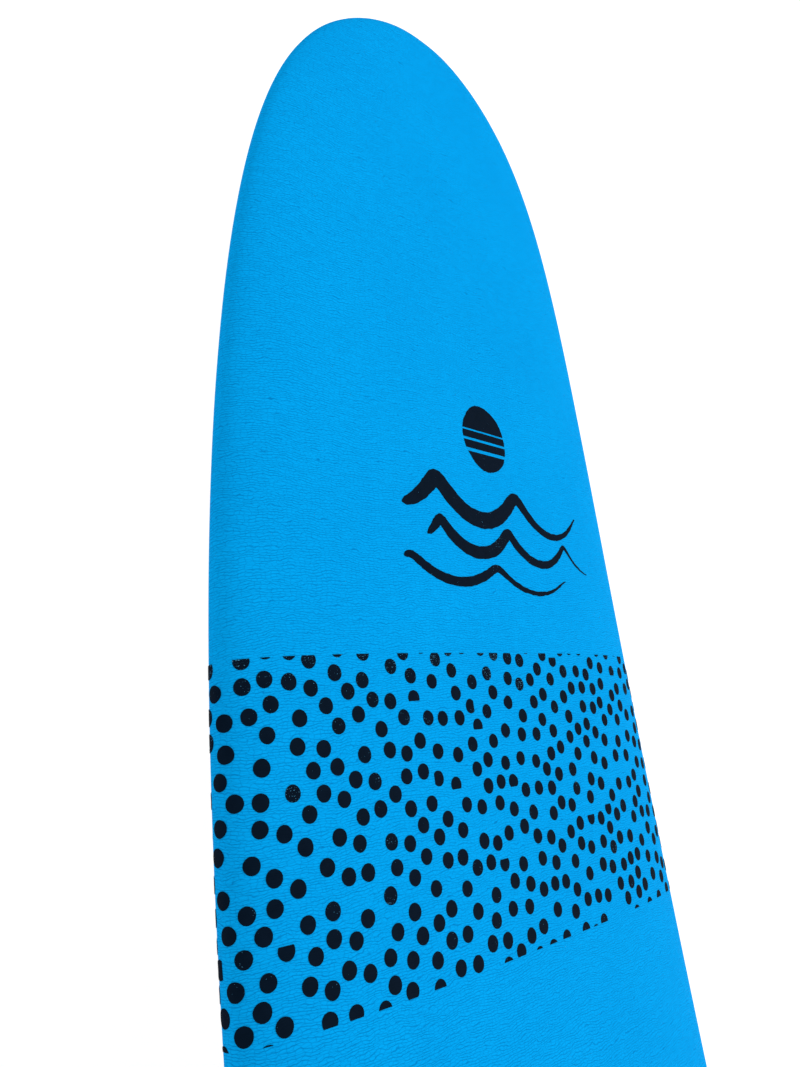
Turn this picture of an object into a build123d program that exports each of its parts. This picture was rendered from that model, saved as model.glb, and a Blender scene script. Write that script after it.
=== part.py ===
"""Soft-top longboard surfboard with three through-bolted fins and a leash plug.

Frame: +X towards the nose, +Y towards the left rail, +Z up from the bottom to the deck.
x = 0 is mid-length, y = 0 is the centre line and z = 0 is the level of the fin tips.
All sizes are in millimetres.
"""
import math
import os

from build123d import *

# Overall size: 9 ft 0 in x 23 in x 3 1/4 in
LENGTH = 2743.0
WIDTH = 584.0
THICKNESS = 83.0
HALF_LENGTH = LENGTH / 2
WIDE_POINT_X = 16.0

# Height of the bottom at mid-length above the fin tips
BOTTOM_Z = 80.0

# Outline: a superellipse on each side of the wide point
NOSE_POWER = 3.3
NOSE_ROOT = 3.2
NOSE_TIP_ROOT = 2.25
NOSE_TIP_BLEND = 15.0
TAIL_TAPER = 0.66
TAIL_POWER = 2.7
TAIL_CORNER_POWER = 60.0
TAIL_CORNER_ROOT = 2.5

# Rocker: the lift of the bottom at each end and how late it comes in
NOSE_ROCKER = 131.0
NOSE_ROCKER_POWER = 2.7
TAIL_ROCKER = 60.0
TAIL_ROCKER_POWER = 2.4

# Thickness flow: the share of the full thickness left at each end
NOSE_THICKNESS_SHARE = 0.17
TAIL_THICKNESS_SHARE = 0.35
THIN_POWER = 2.6
TIP_ROUND_POWER = 120.0

# Cross section: superellipse powers, and the height of the rail's widest line
RAIL_POWER = 2.6
DECK_POWER = 2.15
BELLY_POWER = 3.4
RAIL_SHARE = 0.47

# Layers
GLUE_GAP = 0.35
DECK_FOAM = 6.0
SLICK = 2.0
UNDERLAY = 2.6
SEAM_ROOM = 2.0
BOTTOM_LAYERS = SLICK + UNDERLAY + 2 * GLUE_GAP + SEAM_ROOM
SEAM_INSET = 22.0
SEAM_NOSE_INSET = 70.0
SEAM_TAIL_INSET = 26.0
SEAM_CUT_BELOW = 8.0
SEAM_CUT_ABOVE = 2.0
CORE_NOSE_INSET = 46.0
CORE_TAIL_INSET = 9.0
CORE_END_GAP = 1.0

# Stringers: thin planks on edge, full core height
STRINGER_T = 5.0
SIDE_STRINGER_Y = 78.0
CENTRE_STRINGER_END_X = -1040.0
SLAB_HEIGHT = 600.0

# How far a cutting or joining shape runs past the surface that it crosses
PAST = 10.0

# Fins and their fixings
FIN_ROOT_CHORD = 118.0
FIN_TIP_BACK = 128.0
FIN_LEAD_POWER = 1.6
FIN_LEAD_ROOT = 0.62
FIN_TRAIL_HOLLOW = 14.0
FIN_TRAIL_SWEEP = 10.0
FIN_T = 8.0
FIN_TIP_T = 3.0
FIN_EDGE_HALF_T = 0.5
FIN_STATIONS = 11
FIN_END = 0.994
FIN_FLAT_TIP = 1.0
FOIL_FULLNESS = 1.3
FOIL_SHARES = (0.0, 0.04, 0.13, 0.3, 0.55, 0.8, 1.0)
PAD_L = 132.0
PAD_W = 24.0
PAD_T = 5.0
PAD_CLEARANCE = 0.4
BOSS_R = 6.5
BOSS_H = 20.0
BOSS_SPACING = 76.0
BOSS_ROOT_DEPTH = 3.5
BOSS_HOLE_CLEARANCE = 0.5
FIT = 0.05
CENTRE_FIN_X = -1188.0
SIDE_FIN_X = -1070.0
SIDE_FIN_Y = 138.0
SIDE_FIN_CANT = 5.0
SIDE_FIN_TOE = 2.0

SLEEVE_R = 9.0
SLEEVE_FLANGE_R = 13.0
SLEEVE_FLANGE_T = 3.0
SLEEVE_BORE_R = 7.2
WEB_T = 4.0
WEB_CLEARANCE = 1.0
SLEEVE_END_GAP = 0.5
SCREW_R = 3.0
SCREW_HOLE_R = 3.4
SCREW_HEAD_R = 6.4
SCREW_HEAD_H = 4.2
SCREW_GRIP = 15.0
SCREW_TIP_ROOM = 2.0
SCREW_HEAD_ROUND = 1.2
SCREW_TIP_CHAMFER = 0.8
HEX_R = 2.6
HEX_DEPTH = 2.4

# Leash plug
LEASH_X = -1302.0
CUP_R = 14.0
CUP_FLANGE_R = 18.0
CUP_FLANGE_T = 2.6
CUP_BORE_R = 11.0
CUP_DEPTH = 13.0
CUP_FLOOR = 2.2
LEASH_PIN_R = 2.4
LEASH_PIN_DROP = 5.0
LEASH_PIN_L = 26.0

NOSE_STATIONS = 14
TAIL_STATIONS = 12
SECTION_STEPS = 12
END_U = 0.9995


def outline(x, nose_inset=0.0, tail_inset=0.0, side_inset=0.0):
    """Half-width at x of the plan outline, drawn in by the given insets."""
    half = WIDTH / 2 - side_inset
    if x >= WIDE_POINT_X:
        u = (x - WIDE_POINT_X) / (HALF_LENGTH - nose_inset - WIDE_POINT_X)
        root = NOSE_ROOT + (NOSE_TIP_ROOT - NOSE_ROOT) * u ** NOSE_TIP_BLEND
        return half * (1 - u ** NOSE_POWER) ** (1 / root)
    u = (WIDE_POINT_X - x) / (WIDE_POINT_X + HALF_LENGTH - tail_inset)
    corner = (1 - u ** TAIL_CORNER_POWER) ** (1 / TAIL_CORNER_ROOT)
    return half * (1 - TAIL_TAPER * u ** TAIL_POWER) * corner


def rocker(x):
    """Height of the bottom's centre line above its lowest point."""
    s = abs(x) / HALF_LENGTH
    if x >= 0:
        return NOSE_ROCKER * s ** NOSE_ROCKER_POWER
    return TAIL_ROCKER * s ** TAIL_ROCKER_POWER


def thickness(x):
    """Thickness at the centre line before the tips are rounded off."""
    s = abs(x) / HALF_LENGTH
    share = NOSE_THICKNESS_SHARE if x >= 0 else TAIL_THICKNESS_SHARE
    return THICKNESS * (1 - (1 - share) * s ** THIN_POWER)


def tip_round(x, nose_inset=0.0, tail_inset=0.0):
    """Factor that closes the thickness over the last few centimetres."""
    if x >= WIDE_POINT_X:
        u = (x - WIDE_POINT_X) / (HALF_LENGTH - nose_inset - WIDE_POINT_X)
    else:
        u = (WIDE_POINT_X - x) / (WIDE_POINT_X + HALF_LENGTH - tail_inset)
    return math.sqrt(1 - u ** TIP_ROUND_POWER)


def section_levels(x, nose_inset, tail_inset, deck_inset, belly_inset):
    """Height of the rail line, and the rise above it and drop below it."""
    full = thickness(x)
    rail_z = BOTTOM_Z + rocker(x) + RAIL_SHARE * full
    close = tip_round(x, nose_inset, tail_inset)
    rise = ((1 - RAIL_SHARE) * full - deck_inset) * close
    drop = (RAIL_SHARE * full - belly_inset) * close
    return rail_z, rise, drop


def deck_z(x, y):
    """Height of the deck surface."""
    rail_z, rise, _ = section_levels(x, 0, 0, 0, 0)
    share = min(1.0, abs(y) / outline(x))
    return rail_z + rise * (1 - share ** RAIL_POWER) ** (1 / DECK_POWER)


def belly_z(x, y):
    """Height of the bottom surface."""
    rail_z, _, drop = section_levels(x, 0, 0, 0, 0)
    share = min(1.0, abs(y) / outline(x))
    return rail_z - drop * (1 - share ** RAIL_POWER) ** (1 / BELLY_POWER)


def stations(nose_inset, tail_inset):
    """Section positions, closer together towards both ends."""
    last = math.asin(END_U)
    nose_span = HALF_LENGTH - nose_inset - WIDE_POINT_X
    tail_span = HALF_LENGTH - tail_inset + WIDE_POINT_X
    places = []
    for i in range(TAIL_STATIONS, 0, -1):
        places.append(WIDE_POINT_X - tail_span * math.sin(last * i / TAIL_STATIONS))
    for i in range(NOSE_STATIONS + 1):
        places.append(WIDE_POINT_X + nose_span * math.sin(last * i / NOSE_STATIONS))
    return places


def hull_section(x, nose_inset, tail_inset, side_inset, deck_inset, belly_inset):
    """Closed cross section of the board, or of a smaller board inside it."""
    half = outline(x, nose_inset, tail_inset, side_inset)
    rail_z, rise, drop = section_levels(x, nose_inset, tail_inset, deck_inset, belly_inset)
    points = []
    for i in range(2 * SECTION_STEPS):
        angle = math.pi * i / SECTION_STEPS
        power, height = (DECK_POWER, rise) if i <= SECTION_STEPS else (BELLY_POWER, -drop)
        across = math.copysign(abs(math.cos(angle)) ** (2 / RAIL_POWER), math.cos(angle))
        up = abs(math.sin(angle)) ** (2 / power) if i % SECTION_STEPS else 0.0
        points.append((x, half * across, rail_z + height * up))
    return Wire([Spline(*points, periodic=True)])


def hull(nose_inset=0.0, tail_inset=0.0, side_inset=0.0, deck_inset=0.0, belly_inset=0.0):
    """Solid board shape, drawn in from the outside by the given insets."""
    wires = []
    for x in stations(nose_inset, tail_inset):
        wires.append(hull_section(x, nose_inset, tail_inset, side_inset, deck_inset, belly_inset))
    return Solid.make_loft(wires)


def sheet(low, high, edge_gap):
    """Bottom sheet between two heights above the outside of the bottom."""
    wires = []
    nose_inset = SEAM_NOSE_INSET + edge_gap
    tail_inset = SEAM_TAIL_INSET + edge_gap
    for x in stations(nose_inset, tail_inset):
        half = outline(x, nose_inset, tail_inset, SEAM_INSET + edge_gap)
        lines = []
        for offset in (low, high):
            points = []
            for i in range(SECTION_STEPS + 1):
                y = half * math.cos(math.pi * i / SECTION_STEPS)
                points.append((x, y, belly_z(x, y) + offset))
            lines.append(points)
        lower = Spline(*lines[0])
        upper = Spline(*lines[1])
        left = Line(lines[0][0], lines[1][0])
        right = Line(lines[0][-1], lines[1][-1])
        wires.append(Wire([lower, right, upper, left]))
    return Solid.make_loft(wires)


def rod(radius, low, high, x=0.0, y=0.0):
    """Upright cylinder between two heights."""
    return Pos(x, y, (low + high) / 2) * Cylinder(radius, high - low)


def largest(shape):
    """The main solid of a cut."""
    return max(shape.solids(), key=lambda piece: piece.volume)


def foil(lead_x, trail_x, thick, z):
    """Closed fin section: round leading edge, thin square trailing edge."""
    sides = []
    for side in (1, -1):
        points = []
        for s in FOIL_SHARES:
            half = FOIL_FULLNESS * thick * math.sqrt(s) * (1 - s) + FIN_EDGE_HALF_T * s
            points.append((lead_x + (trail_x - lead_x) * s, side * half, z))
        sides.append(points)
    left = Spline(*sides[0])
    right = Spline(*sides[1])
    back = Line(sides[0][-1], sides[1][-1])
    return Wire([left, back, right])


def fin_blade(depth):
    """Raked blade hanging down from z = 0, its root chord centred on x = 0."""
    wires = []
    front = FIN_ROOT_CHORD / 2
    for i in range(FIN_STATIONS):
        d = FIN_END * math.sin(math.pi / 2 * i / (FIN_STATIONS - 1))
        lead_x = front - FIN_TIP_BACK * (1 - (1 - d ** FIN_LEAD_POWER) ** FIN_LEAD_ROOT)
        trail_x = -front + FIN_TRAIL_HOLLOW * math.sin(math.pi * d ** 0.8) - FIN_TRAIL_SWEEP * d * d
        thick = FIN_T + (FIN_TIP_T - FIN_T) * d
        wires.append(foil(lead_x, trail_x, thick, -depth * d / FIN_END))
    return Solid.make_loft(wires)


def bolt_points(x, y, toe):
    """Front and back fixing positions of a fin."""
    reach = BOSS_SPACING / 2
    dx = reach * math.cos(math.radians(toe))
    dy = reach * math.sin(math.radians(toe))
    return [(x + dx, y + dy), (x - dx, y - dy)]


def web_top(x, y):
    """Height of the seat that a fin screw's head bears on."""
    return belly_z(x, y) + BOSS_H + WEB_T + WEB_CLEARANCE


def make_fin(x, y, cant, toe):
    """Fin with its base pad and two threaded bosses."""
    root_z = belly_z(x, y)
    blade = fin_blade((root_z + FIN_FLAT_TIP) / math.cos(math.radians(cant)))
    blade = Pos(x, y, root_z) * Rot(0, 0, toe) * Rot(cant, 0, 0) * blade
    root_block = Rot(0, 0, toe) * extrude(SlotOverall(PAD_L, PAD_W), 2 * PAD_T)
    pad = Pos(x, y, root_z - PAD_T) * root_block
    solid = largest((pad + blade) - BOARD.moved(Location((0, 0, -PAD_CLEARANCE))))
    for bx, by in bolt_points(x, y, toe):
        boss_top = belly_z(bx, by) + BOSS_H
        solid = solid + rod(BOSS_R, root_z - BOSS_ROOT_DEPTH, boss_top, bx, by)
    for bx, by in bolt_points(x, y, toe):
        boss_top = belly_z(bx, by) + BOSS_H
        bore_end = boss_top - SCREW_GRIP - SCREW_TIP_ROOM
        solid = solid - rod(SCREW_R + FIT, bore_end, boss_top + PAST, bx, by)
    below_floor = Pos(x, y, -THICKNESS / 2) * Box(WIDTH, WIDTH, THICKNESS)
    return solid - below_floor


def make_sleeve(x, y):
    """Flanged tube through the core, with a web that the screw head bears on."""
    top = deck_z(x, y)
    low = belly_z(x, y) + BOTTOM_LAYERS + SLEEVE_END_GAP
    seat = web_top(x, y)
    body = rod(SLEEVE_R, low, top - SLEEVE_FLANGE_T / 2, x, y)
    body = body + rod(SLEEVE_FLANGE_R, top - SLEEVE_FLANGE_T, top + PAST, x, y)
    body = body & BOARD
    body = body - rod(SLEEVE_BORE_R, seat, top + PAST, x, y)
    body = body - rod(SCREW_HOLE_R, low - PAST, top, x, y)
    return body - rod(BOSS_R + FIT, low - PAST, seat - WEB_T, x, y)


def make_screw(x, y):
    """Fin screw with a round head and a hexagon socket."""
    seat = web_top(x, y)
    tip = belly_z(x, y) + BOSS_H - SCREW_GRIP
    head = rod(SCREW_HEAD_R, seat, seat + SCREW_HEAD_H, x, y)
    head = fillet(head.edges().group_by(Axis.Z)[-1], SCREW_HEAD_ROUND)
    socket = Pos(x, y, seat + SCREW_HEAD_H - HEX_DEPTH) * extrude(RegularPolygon(HEX_R, 6), HEX_DEPTH + PAST)
    shank = rod(SCREW_R, tip, seat + SCREW_HEAD_H / 4, x, y)
    shank = chamfer(shank.edges().group_by(Axis.Z)[0], SCREW_TIP_CHAMFER)
    return head + shank - socket


def sleeve_hole(x, y):
    """Clearance hole for a sleeve through the deck foam and the core."""
    top = deck_z(x, y)
    hole = rod(SLEEVE_R + GLUE_GAP, belly_z(x, y) - PAST, top + PAST, x, y)
    return hole + rod(SLEEVE_FLANGE_R + GLUE_GAP, top - SLEEVE_FLANGE_T - GLUE_GAP, top + PAST, x, y)


def save(shape, name):
    """Write one node."""
    solid = largest(shape)
    print(name, round(solid.volume), "valid" if solid.is_valid else "broken")
    export_step(solid, os.path.join("parts", name + ".step"))


os.makedirs("parts", exist_ok=True)

BOARD = hull()
FINS = {
    "centre": (CENTRE_FIN_X, 0.0, 0.0, 0.0),
    "left": (SIDE_FIN_X, SIDE_FIN_Y, SIDE_FIN_CANT, -SIDE_FIN_TOE),
    "right": (SIDE_FIN_X, -SIDE_FIN_Y, -SIDE_FIN_CANT, SIDE_FIN_TOE),
}

bolts = {}
for side, (fin_x, fin_y, cant, toe) in FINS.items():
    for end, point in zip(("front", "back"), bolt_points(fin_x, fin_y, toe)):
        bolts[side + "_" + end] = point

# Leash plug: a flanged cup sunk flush in the deck, with a steel pin across its mouth
leash_top = deck_z(LEASH_X, 0)
cup_low = leash_top - CUP_DEPTH - CUP_FLOOR
pin_z = leash_top - LEASH_PIN_DROP
cup = rod(CUP_R, cup_low, leash_top - CUP_FLANGE_T / 2, LEASH_X)
cup = cup + rod(CUP_FLANGE_R, leash_top - CUP_FLANGE_T, leash_top + PAST, LEASH_X)
cup = cup & BOARD
cup = cup - rod(CUP_BORE_R, cup_low + CUP_FLOOR, leash_top + PAST, LEASH_X)
pin = Pos(LEASH_X, 0, pin_z) * Rot(90, 0, 0) * Cylinder(LEASH_PIN_R, LEASH_PIN_L)
cup = cup - pin
cup_hole = rod(CUP_R + GLUE_GAP, cup_low - GLUE_GAP, leash_top + PAST, LEASH_X)
flange_low = leash_top - CUP_FLANGE_T - GLUE_GAP
cup_hole = cup_hole + rod(CUP_FLANGE_R + GLUE_GAP, flange_low, leash_top + PAST, LEASH_X)
save(cup, "leash_cup")
save(pin, "leash_pin")

holes = [sleeve_hole(x, y) for x, y in bolts.values()] + [cup_hole]

# Deck foam: one sheet over the deck and round the rails to the seam under them
cavity = hull(CORE_NOSE_INSET, CORE_TAIL_INSET, DECK_FOAM, DECK_FOAM, BOTTOM_LAYERS)
seam_cut = sheet(-SEAM_CUT_BELOW, BOTTOM_LAYERS + SEAM_CUT_ABOVE, 0.0)
deck = largest(BOARD - cavity)
deck = largest(deck - seam_cut)
for hole in holes:
    deck = largest(deck - hole)
save(deck, "deck_skin")

# Bottom: a slick plastic sheet on a thin foam underlay
layers = {
    "bottom_slick": sheet(0.0, SLICK, GLUE_GAP),
    "bottom_underlay": sheet(SLICK + GLUE_GAP, SLICK + GLUE_GAP + UNDERLAY, GLUE_GAP),
}
for name, layer in layers.items():
    for x, y in bolts.values():
        low = belly_z(x, y)
        layer = layer - rod(BOSS_R + BOSS_HOLE_CLEARANCE, low - PAST, low + PAST, x, y)
    save(layer, name)

# Core: four foam strips glued between three wooden stringers
core = hull(
    CORE_NOSE_INSET + CORE_END_GAP,
    CORE_TAIL_INSET + CORE_END_GAP,
    DECK_FOAM + GLUE_GAP,
    DECK_FOAM + GLUE_GAP,
    BOTTOM_LAYERS + GLUE_GAP,
)
side_in = SIDE_STRINGER_Y - STRINGER_T / 2
side_out = SIDE_STRINGER_Y + STRINGER_T / 2


def slab(x_low, x_high, y_low, y_high):
    """Tall box between the given limits."""
    middle = Pos((x_low + x_high) / 2, (y_low + y_high) / 2, BOTTOM_Z)
    return middle * Box(x_high - x_low, y_high - y_low, SLAB_HEIGHT)


centre_slab = slab(CENTRE_STRINGER_END_X, HALF_LENGTH, -STRINGER_T / 2, STRINGER_T / 2)
save(core & centre_slab, "stringer_centre")
for side, sign in (("left", 1), ("right", -1)):
    low, high = sorted((sign * side_in, sign * side_out))
    save(core & slab(-HALF_LENGTH, HALF_LENGTH, low, high), "stringer_" + side)
    low, high = sorted((0.0, sign * side_in))
    inner = largest(core & slab(-HALF_LENGTH, HALF_LENGTH, low, high)) - centre_slab
    low, high = sorted((sign * side_out, sign * WIDTH))
    outer = largest(core & slab(-HALF_LENGTH, HALF_LENGTH, low, high))
    for hole in holes:
        inner = inner - hole
        outer = outer - hole
    save(inner, "core_inner_" + side)
    save(outer, "core_outer_" + side)

# Fins with their sleeves and screws
for side, (fin_x, fin_y, cant, toe) in FINS.items():
    save(make_fin(fin_x, fin_y, cant, toe), "fin_" + side)
for name, (x, y) in bolts.items():
    save(make_sleeve(x, y), "fin_sleeve_" + name)
    save(make_screw(x, y), "fin_screw_" + name)
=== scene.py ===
"""Soft-top longboard surfboard: the looks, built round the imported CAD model.

Frame: +X towards the nose, +Y towards the left rail, +Z up through the deck, in metres.
The foam deck, the slick bottom and the printed pattern are drawn here from the board's own
formulas. The fins, sleeves, screws, leash plug, core and stringers are the CAD parts.
"""
import math
import random

import bmesh
import bpy
import numpy as np
from mathutils import Matrix, Vector


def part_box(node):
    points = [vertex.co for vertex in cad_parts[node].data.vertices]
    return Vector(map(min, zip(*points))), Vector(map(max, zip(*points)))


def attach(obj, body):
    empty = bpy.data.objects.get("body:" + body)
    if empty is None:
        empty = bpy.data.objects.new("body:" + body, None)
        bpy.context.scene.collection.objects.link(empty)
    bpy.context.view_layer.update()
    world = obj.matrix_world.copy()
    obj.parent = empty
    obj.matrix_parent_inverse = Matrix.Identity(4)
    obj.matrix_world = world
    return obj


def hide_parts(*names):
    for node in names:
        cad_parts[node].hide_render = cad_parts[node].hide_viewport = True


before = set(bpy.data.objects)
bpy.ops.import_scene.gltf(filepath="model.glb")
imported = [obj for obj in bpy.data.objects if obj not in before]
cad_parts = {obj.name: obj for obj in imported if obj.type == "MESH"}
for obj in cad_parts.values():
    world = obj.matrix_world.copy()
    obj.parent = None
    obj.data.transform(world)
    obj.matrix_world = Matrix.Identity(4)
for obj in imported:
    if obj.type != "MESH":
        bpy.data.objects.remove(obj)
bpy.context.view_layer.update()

# ---------------------------------------------------------------- board shape, as in the CAD, in mm
LENGTH = 2743.0
WIDTH = 584.0
THICKNESS = 83.0
HALF_LENGTH = LENGTH / 2
WIDE_POINT_X = 16.0
BOTTOM_Z = 80.0

NOSE_POWER = 3.3
NOSE_ROOT = 3.2
NOSE_TIP_ROOT = 2.25
NOSE_TIP_BLEND = 15.0
TAIL_TAPER = 0.66
TAIL_POWER = 2.7
TAIL_CORNER_POWER = 60.0
TAIL_CORNER_ROOT = 2.5

NOSE_ROCKER = 131.0
NOSE_ROCKER_POWER = 2.7
TAIL_ROCKER = 60.0
TAIL_ROCKER_POWER = 2.4

NOSE_THICKNESS_SHARE = 0.17
TAIL_THICKNESS_SHARE = 0.35
THIN_POWER = 2.6
TIP_ROUND_POWER = 120.0

RAIL_POWER = 2.6
DECK_POWER = 2.15
BELLY_POWER = 3.4
RAIL_SHARE = 0.47

GLUE_GAP = 0.35
SLICK = 2.0
SEAM_INSET = 22.0
SEAM_NOSE_INSET = 70.0
SEAM_TAIL_INSET = 26.0
END_U = 0.9994

MM = 0.001
METRE = 1000


def along(x, nose_inset=0.0, tail_inset=0.0):
    """Share of the way from the wide point to the end of the board, with the end's flag."""
    x = np.asarray(x, float)
    nose = x >= WIDE_POINT_X
    forward = (x - WIDE_POINT_X) / (HALF_LENGTH - nose_inset - WIDE_POINT_X)
    back = (WIDE_POINT_X - x) / (WIDE_POINT_X + HALF_LENGTH - tail_inset)
    return np.clip(np.where(nose, forward, back), 0.0, 1.0), nose


def outline(x, nose_inset=0.0, tail_inset=0.0, side_inset=0.0):
    """Half-width at x of the plan outline, drawn in by the given insets."""
    u, nose = along(x, nose_inset, tail_inset)
    root = NOSE_ROOT + (NOSE_TIP_ROOT - NOSE_ROOT) * u ** NOSE_TIP_BLEND
    nose_half = (1 - u ** NOSE_POWER) ** (1 / root)
    corner = (1 - u ** TAIL_CORNER_POWER) ** (1 / TAIL_CORNER_ROOT)
    tail_half = (1 - TAIL_TAPER * u ** TAIL_POWER) * corner
    return (WIDTH / 2 - side_inset) * np.where(nose, nose_half, tail_half)


def levels(x):
    """Height of the rail line, and the rise above it and the drop below it."""
    x = np.asarray(x, float)
    s = np.abs(x) / HALF_LENGTH
    nose = x >= 0
    lift = np.where(nose, NOSE_ROCKER * s ** NOSE_ROCKER_POWER, TAIL_ROCKER * s ** TAIL_ROCKER_POWER)
    share = np.where(nose, NOSE_THICKNESS_SHARE, TAIL_THICKNESS_SHARE)
    full = THICKNESS * (1 - (1 - share) * s ** THIN_POWER)
    u, _ = along(x)
    close = np.sqrt(1 - u ** TIP_ROUND_POWER)
    return BOTTOM_Z + lift + RAIL_SHARE * full, (1 - RAIL_SHARE) * full * close, RAIL_SHARE * full * close


def section(x, angle):
    """Point of the board's surface at x; angle 0 is the deck's middle, +-90 the rails, +-180 the bottom."""
    x, angle = np.broadcast_arrays(np.asarray(x, float), np.asarray(angle, float))
    half = outline(x)
    rail_z, rise, drop = levels(x)
    across = np.sign(np.sin(angle)) * np.abs(np.sin(angle)) ** (2 / RAIL_POWER)
    up = np.cos(angle)
    above = rise * np.abs(up) ** (2 / DECK_POWER)
    below = -drop * np.abs(up) ** (2 / BELLY_POWER)
    height = np.where(up >= 0, above, below)
    return np.stack([x, half * across, rail_z + height], -1)


def belly_z(x, y):
    """Height of the bottom surface."""
    rail_z, _, drop = levels(x)
    share = np.clip(np.abs(y) / np.maximum(outline(x), 1e-6), 0, 1)
    return rail_z - drop * (1 - share ** RAIL_POWER) ** (1 / BELLY_POWER)


def deck_z(x, y):
    """Height of the deck surface."""
    rail_z, rise, _ = levels(x)
    share = np.clip(np.abs(y) / np.maximum(outline(x), 1e-6), 0, 1)
    return rail_z + rise * (1 - share ** RAIL_POWER) ** (1 / DECK_POWER)


def seam_angle(x, gap=0.0):
    """Section angle at which the deck foam ends under the rail; 180 degrees beyond the slick's ends."""
    seam = outline(x, SEAM_NOSE_INSET - gap, SEAM_TAIL_INSET - gap, SEAM_INSET - gap)
    inside = (x < HALF_LENGTH - SEAM_NOSE_INSET + gap) & (x > -HALF_LENGTH + SEAM_TAIL_INSET - gap)
    share = np.clip(np.where(inside, seam, 0.0) / np.maximum(outline(x), 1e-6), 0, 1)
    return math.pi - np.arcsin(share ** (RAIL_POWER / 2))


GIRTH_STEPS = 721
SLOPE_STEP = 0.5
SLOPE_TURN = 1e-3


def girth_table(x):
    """Section angles with their distance round the board from the deck's centre line, for each x."""
    angle = np.linspace(0, math.pi, GIRTH_STEPS)
    points = section(np.asarray(x, float)[:, None], angle[None, :])
    steps = np.linalg.norm(np.diff(points, axis=1), axis=2)
    return angle, np.concatenate([np.zeros((len(points), 1)), np.cumsum(steps, axis=1)], 1)


def on_sheet(x, s, lift=0.0):
    """Board point for a spot on the deck's foam sheet: x along it, s round it from the centre line."""
    x = np.asarray(x, float)
    s = np.asarray(s, float)
    angle, girth = girth_table(x)
    out = np.empty(len(x))
    for i in range(len(x)):
        out[i] = np.interp(abs(s[i]), girth[i], angle) * (1 if s[i] >= 0 else -1)
    point = section(x, out)
    fore = section(x + SLOPE_STEP, out) - section(x - SLOPE_STEP, out)
    side = section(x, out + SLOPE_TURN) - section(x, out - SLOPE_TURN)
    normal = np.cross(side, fore)
    normal /= np.maximum(np.linalg.norm(normal, axis=1, keepdims=True), 1e-12)
    return point + normal * lift


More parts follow.
